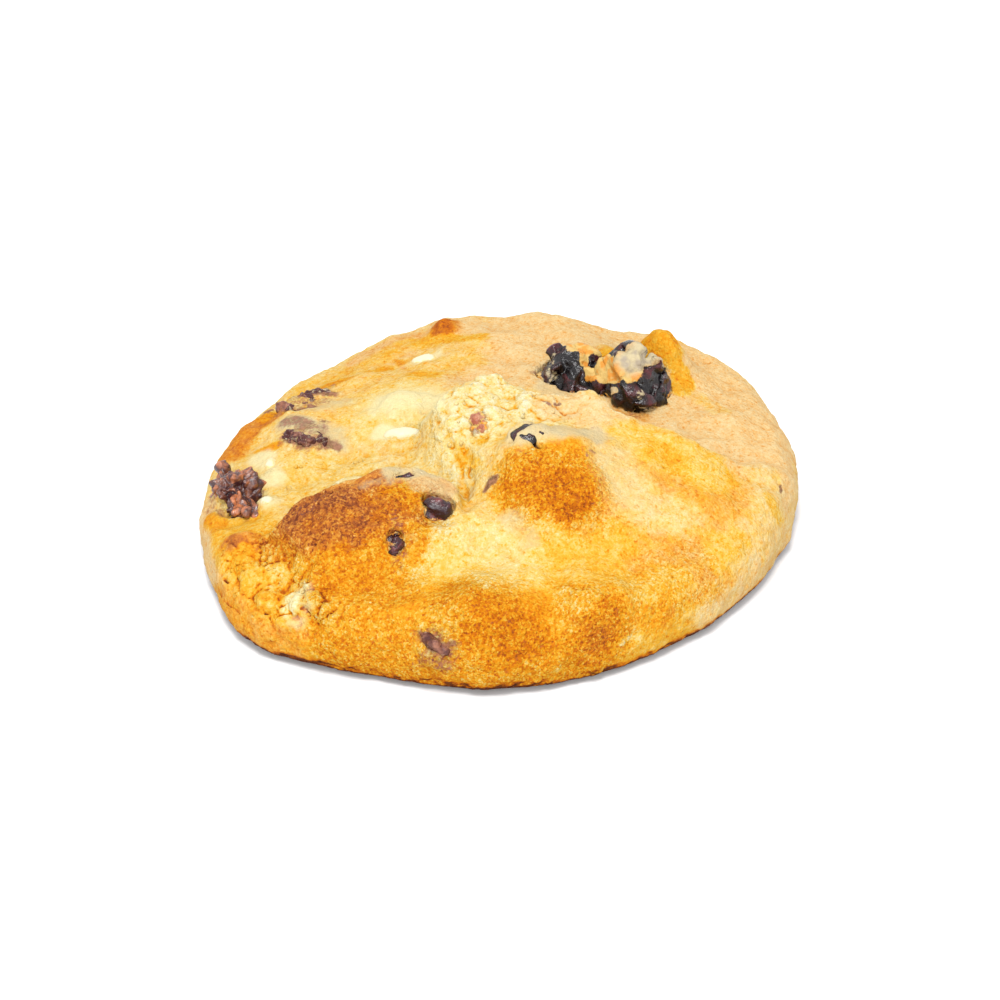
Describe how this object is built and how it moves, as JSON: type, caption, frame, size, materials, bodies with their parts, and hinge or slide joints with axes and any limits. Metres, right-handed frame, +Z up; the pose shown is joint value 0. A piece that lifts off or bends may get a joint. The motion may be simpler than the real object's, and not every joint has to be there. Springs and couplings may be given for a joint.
{
  "type": "soft-baked cranberry and white chocolate cookie",
  "caption": "Thick, uneven soft-baked cookie with dried cranberries and melted white chocolate set into its craggy top.",
  "frame": {"origin": "on the table, under the middle of the cookie's footprint", "axes": "+Z up from the flat underside, +X to the cookie's right, -Y to its browned front edge"},
  "size_m": [0.082, 0.0828, 0.0199],
  "materials": {
    "dough": "matte baked crumb, pale in the hollows and browned on the mounds",
    "cranberry": "wrinkled, sticky and glossy",
    "white_chocolate": "smooth, melted and set, slightly waxy"
  },
  "bodies": {
    "root": {"dough": "dough", "cranberry_back_right": "cranberry", "cranberry_back_left": "cranberry", "cranberry_left_rim": "cranberry", "cranberry_upper_left": "cranberry", "cranberry_upper_left_front": "cranberry", "cranberry_left_mound": "cranberry", "cranberry_left_mound_front": "cranberry", "cranberry_left_mound_back": "cranberry", "cranberry_middle": "cranberry", "cranberry_crown": "cranberry", "cranberry_front": "cranberry", "white_chocolate_hollow": "white_chocolate", "white_chocolate_bar": "white_chocolate", "white_chocolate_left": "white_chocolate", "white_chocolate_left_front": "white_chocolate", "white_chocolate_back": "white_chocolate"}
  },
  "joints": []
}
